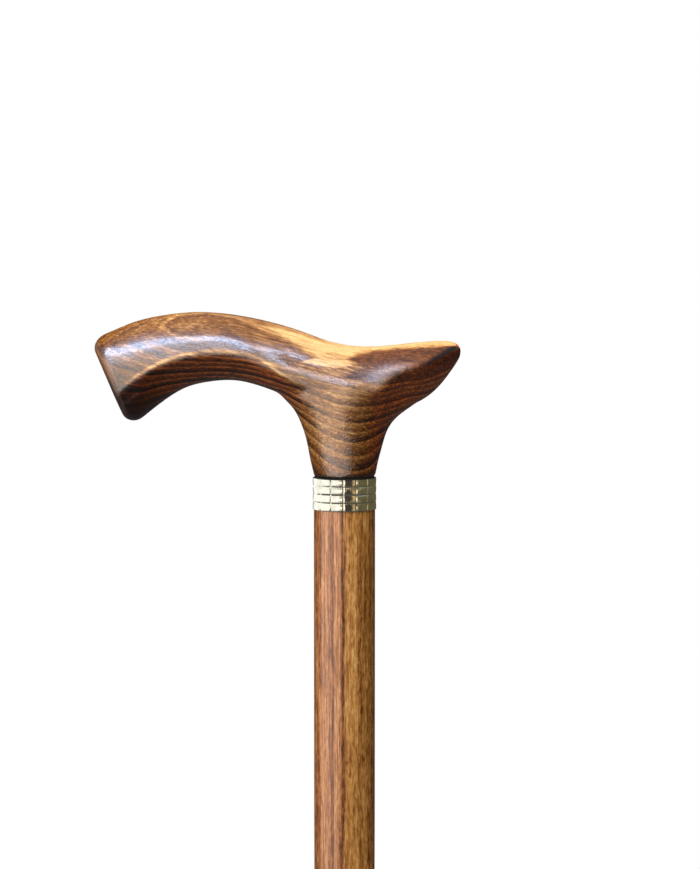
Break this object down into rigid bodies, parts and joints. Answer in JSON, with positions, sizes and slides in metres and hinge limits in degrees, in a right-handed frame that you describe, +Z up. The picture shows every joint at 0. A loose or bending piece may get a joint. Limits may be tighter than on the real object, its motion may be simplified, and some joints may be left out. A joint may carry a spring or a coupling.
{
  "type": "walking stick",
  "caption": "Walking stick with a carved derby handle, an engraved metal collar, a tapered wooden shaft and a pull-off rubber ferrule.",
  "frame": {"origin": "where the shaft's axis meets the ground, on the underside of the ferrule", "axes": "+Z up along the shaft, -X along the handle's long grip, +X along its short beak"},
  "size_m": [0.1313, 0.04, 0.9191],
  "materials": {
    "handle_wood": "scorched beech under glossy varnish",
    "shaft_wood": "stained beech under glossy varnish",
    "collar_metal": "polished pale gold plate, engraved",
    "black_fibre": "matt black fibre",
    "insert_brass": "turned brass",
    "stud_steel": "zinc-plated steel",
    "ferrule_rubber": "matt black rubber",
    "disc_steel": "plain steel"
  },
  "bodies": {
    "ferrule": {"ferrule": "ferrule_rubber", "ferrule_disc": "disc_steel"},
    "stick": {"shaft": "shaft_wood", "collar": "collar_metal", "neck_washer": "black_fibre", "joining_stud": "stud_steel", "handle_insert": "insert_brass", "handle": "handle_wood"}
  },
  "joints": [
    {"name": "ferrule_pull", "type": "slide", "parent": "ferrule", "child": "stick", "axis": [0, 0, 1], "range_m": [0, 0.04]}
  ]
}
